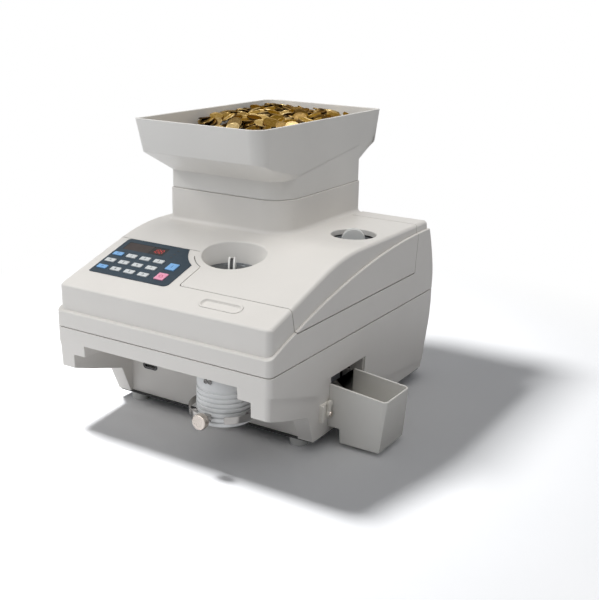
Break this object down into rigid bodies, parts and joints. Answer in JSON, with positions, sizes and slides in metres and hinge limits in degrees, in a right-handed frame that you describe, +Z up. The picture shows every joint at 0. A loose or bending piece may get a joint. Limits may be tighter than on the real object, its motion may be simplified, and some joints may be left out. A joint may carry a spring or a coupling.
{
  "type": "coin sorting machine",
  "caption": "Desktop coin sorter with a hinged hood, lift-off hopper, keypad, two setting dials, ribbed coin tube with bag clamp and a side reject tray.",
  "frame": {"origin": "middle of the whole outline on the table, under the feet", "axes": "+X to the right of someone facing the keypad, +Y to the rear, +Z up"},
  "size_m": [0.395, 0.459, 0.377],
  "materials": {
    "case_plastic": "fine moulded texture, satin",
    "hopper_plastic": "fine moulded texture, satin",
    "tray_plastic": "moulded, satin",
    "tube_plastic": "moulded, satin, ribbed",
    "pale_plastic": "smooth moulded",
    "panel_film": "printed overlay film, satin",
    "window_tint": "dark red display filter",
    "key_grey": "satin",
    "key_blue": "satin",
    "key_pink": "satin",
    "dial_white": "smooth moulded grips on a dark plate",
    "sheet_steel": "zinc plated",
    "dark_steel": "dark coated",
    "screw_steel": "plated",
    "band_chrome": "polished",
    "knob_nickel": "nickel plated",
    "board_green": "solder mask",
    "motor_black": "black enamel",
    "belt_rubber": "matte",
    "black_plastic": "matte",
    "foot_rubber": "matte grey"
  },
  "bodies": {
    "case": {"upper_case": "case_plastic", "lower_case": "case_plastic", "base_plate": "sheet_steel", "feet": "foot_rubber", "case_screws": "screw_steel", "mech_deck": "sheet_steel", "deck_posts": "screw_steel", "control_panel": "panel_film", "control_board": "board_green", "display_window": "window_tint", "coin_track": "sheet_steel", "feed_bowl": "dark_steel", "drive_motor": "motor_black", "drive_belt": "belt_rubber", "transport_motor": "motor_black", "transport_belt": "belt_rubber", "coin_sensor": "board_green", "gate_solenoid": "dark_steel", "reject_chute": "sheet_steel", "drop_chute": "sheet_steel", "coin_tube": "tube_plastic", "tube_screws": "screw_steel", "clamp_ring": "band_chrome", "main_board": "board_green", "power_supply": "dark_steel", "power_inlet": "black_plastic", "data_port": "black_plastic", "hinge_pin": "screw_steel", "catch_bracket": "pale_plastic"},
    "hood": {"hood": "case_plastic"},
    "hopper": {"hopper": "hopper_plastic"},
    "release_button": {"release_button": "case_plastic"},
    "diameter_dial": {"diameter_dial": "dial_white"},
    "diameter_rail": {"diameter_rail": "sheet_steel"},
    "thickness_dial": {"thickness_dial": "dial_white"},
    "thickness_gate": {"thickness_gate": "sheet_steel"},
    "feed_disc": {"feed_disc": "dark_steel"},
    "motor_pulley": {"motor_pulley": "sheet_steel"},
    "drive_roller": {"drive_roller": "belt_rubber"},
    "idler_roller": {"idler_roller": "belt_rubber"},
    "reject_gate": {"reject_gate": "sheet_steel"},
    "tray": {"tray": "tray_plastic"},
    "tray_catch": {"tray_catch": "pale_plastic"},
    "thumb_screw": {"thumb_screw": "knob_nickel"},
    "power_switch": {"power_switch": "black_plastic"},
    "key_r1c1": {"key_r1c1": "key_blue"},
    "key_r1c2": {"key_r1c2": "key_grey"},
    "key_r1c3": {"key_r1c3": "key_grey"},
    "key_r1c4": {"key_r1c4": "key_grey"},
    "key_r2c1": {"key_r2c1": "key_grey"},
    "key_r2c2": {"key_r2c2": "key_grey"},
    "key_r2c3": {"key_r2c3": "key_grey"},
    "key_r2c4": {"key_r2c4": "key_grey"},
    "key_r3c1": {"key_r3c1": "key_blue"},
    "key_r3c2": {"key_r3c2": "key_grey"},
    "key_r3c3": {"key_r3c3": "key_grey"},
    "key_r3c4": {"key_r3c4": "key_grey"},
    "key_start": {"key_start": "key_blue"},
    "key_stop": {"key_stop": "key_pink"}
  },
  "joints": [
    {"name": "hood_hinge", "type": "hinge", "parent": "case", "child": "hood", "pos_m": [-0.0375, 0.1765, 0.2245], "axis": [-1, 0, 0], "range_deg": [0, 45]},
    {"name": "hopper_lift", "type": "slide", "parent": "hood", "child": "hopper", "axis": [0, 0, 1], "range_m": [0, 0.06]},
    {"name": "release_button_press", "type": "slide", "parent": "case", "child": "release_button", "axis": [0, 0.3034, -0.9529], "range_m": [0, 0.003], "stiffness_N_per_m": 400, "springref_m": -0.002},
    {"name": "diameter_dial_turn", "type": "hinge", "parent": "case", "child": "diameter_dial", "pos_m": [-0.0175, -0.0915, 0.205], "axis": [0, 0, 1], "range_deg": [0, 300]},
    {"name": "diameter_rail_slide", "type": "slide", "parent": "case", "child": "diameter_rail", "axis": [1, 0, 0], "range_m": [0, 0.008]},
    {"name": "thickness_dial_turn", "type": "hinge", "parent": "case", "child": "thickness_dial", "pos_m": [0.0745, 0.0515, 0.227], "axis": [0, 0, 1], "range_deg": [0, 300]},
    {"name": "thickness_gate_lift", "type": "slide", "parent": "case", "child": "thickness_gate", "axis": [0, 0, 1], "range_m": [0, 0.002]},
    {"name": "feed_disc_spin", "type": "hinge", "parent": "case", "child": "feed_disc", "pos_m": [-0.0795, 0.0845, 0.178], "axis": [0, 0, 1], "continuous": true},
    {"name": "motor_pulley_spin", "type": "hinge", "parent": "case", "child": "motor_pulley", "pos_m": [0.0325, 0.1265, 0.154], "axis": [0, 0, 1], "continuous": true},
    {"name": "drive_roller_spin", "type": "hinge", "parent": "case", "child": "drive_roller", "pos_m": [0.0465, 0.0015, 0.1895], "axis": [1, 0, 0], "continuous": true},
    {"name": "idler_roller_spin", "type": "hinge", "parent": "case", "child": "idler_roller", "pos_m": [0.0465, -0.1035, 0.1895], "axis": [1, 0, 0], "continuous": true},
    {"name": "reject_gate_tilt", "type": "hinge", "parent": "case", "child": "reject_gate", "pos_m": [0.0465, -0.0535, 0.176], "axis": [-1, 0, 0], "range_deg": [0, 20], "stiffness_Nm_per_rad": 0.01, "springref_deg": -17.19},
    {"name": "tray_pull", "type": "slide", "parent": "case", "child": "tray", "axis": [1, 0, 0], "range_m": [0, 0.06]},
    {"name": "tray_catch_turn", "type": "hinge", "parent": "case", "child": "tray_catch", "pos_m": [0.1225, -0.0855, 0.043], "axis": [1, 0, 0], "range_deg": [0, 40]},
    {"name": "thumb_screw_turn", "type": "hinge", "parent": "case", "child": "thumb_screw", "pos_m": [0.033, -0.2153, 0.062], "axis": [0, -1, 0], "range_deg": [0, 360]},
    {"name": "power_switch_rock", "type": "hinge", "parent": "case", "child": "power_switch", "pos_m": [-0.1015, 0.1978, 0.045], "axis": [1, 0, 0], "range_deg": [-16, 0]},
    {"name": "key_r1c1_press", "type": "slide", "parent": "case", "child": "key_r1c1", "axis": [0, 0.3034, -0.9529], "range_m": [0, 0.0008], "stiffness_N_per_m": 500, "springref_m": -0.001},
    {"name": "key_r1c2_press", "type": "slide", "parent": "case", "child": "key_r1c2", "axis": [0, 0.3034, -0.9529], "range_m": [0, 0.0008], "stiffness_N_per_m": 500, "springref_m": -0.001},
    {"name": "key_r1c3_press", "type": "slide", "parent": "case", "child": "key_r1c3", "axis": [0, 0.3034, -0.9529], "range_m": [0, 0.0008], "stiffness_N_per_m": 500, "springref_m": -0.001},
    {"name": "key_r1c4_press", "type": "slide", "parent": "case", "child": "key_r1c4", "axis": [0, 0.3034, -0.9529], "range_m": [0, 0.0008], "stiffness_N_per_m": 500, "springref_m": -0.001},
    {"name": "key_r2c1_press", "type": "slide", "parent": "case", "child": "key_r2c1", "axis": [0, 0.3034, -0.9529], "range_m": [0, 0.0008], "stiffness_N_per_m": 500, "springref_m": -0.001},
    {"name": "key_r2c2_press", "type": "slide", "parent": "case", "child": "key_r2c2", "axis": [0, 0.3034, -0.9529], "range_m": [0, 0.0008], "stiffness_N_per_m": 500, "springref_m": -0.001},
    {"name": "key_r2c3_press", "type": "slide", "parent": "case", "child": "key_r2c3", "axis": [0, 0.3034, -0.9529], "range_m": [0, 0.0008], "stiffness_N_per_m": 500, "springref_m": -0.001},
    {"name": "key_r2c4_press", "type": "slide", "parent": "case", "child": "key_r2c4", "axis": [0, 0.3034, -0.9529], "range_m": [0, 0.0008], "stiffness_N_per_m": 500, "springref_m": -0.001},
    {"name": "key_r3c1_press", "type": "slide", "parent": "case", "child": "key_r3c1", "axis": [0, 0.3034, -0.9529], "range_m": [0, 0.0008], "stiffness_N_per_m": 500, "springref_m": -0.001},
    {"name": "key_r3c2_press", "type": "slide", "parent": "case", "child": "key_r3c2", "axis": [0, 0.3034, -0.9529], "range_m": [0, 0.0008], "stiffness_N_per_m": 500, "springref_m": -0.001},
    {"name": "key_r3c3_press", "type": "slide", "parent": "case", "child": "key_r3c3", "axis": [0, 0.3034, -0.9529], "range_m": [0, 0.0008], "stiffness_N_per_m": 500, "springref_m": -0.001},
    {"name": "key_r3c4_press", "type": "slide", "parent": "case", "child": "key_r3c4", "axis": [0, 0.3034, -0.9529], "range_m": [0, 0.0008], "stiffness_N_per_m": 500, "springref_m": -0.001},
    {"name": "key_start_press", "type": "slide", "parent": "case", "child": "key_start", "axis": [0, 0.3034, -0.9529], "range_m": [0, 0.0008], "stiffness_N_per_m": 500, "springref_m": -0.001},
    {"name": "key_stop_press", "type": "slide", "parent": "case", "child": "key_stop", "axis": [0, 0.3034, -0.9529], "range_m": [0, 0.0008], "stiffness_N_per_m": 500, "springref_m": -0.001}
  ],
  "couplings": [
    {"joint": "diameter_rail_slide", "follows": "diameter_dial_turn", "m_per_rad": 0.00152},
    {"joint": "thickness_gate_lift", "follows": "thickness_dial_turn", "m_per_rad": 0.00038},
    {"joint": "motor_pulley_spin", "follows": "feed_disc_spin", "ratio": 2.6},
    {"joint": "idler_roller_spin", "follows": "drive_roller_spin", "ratio": 1}
  ]
}
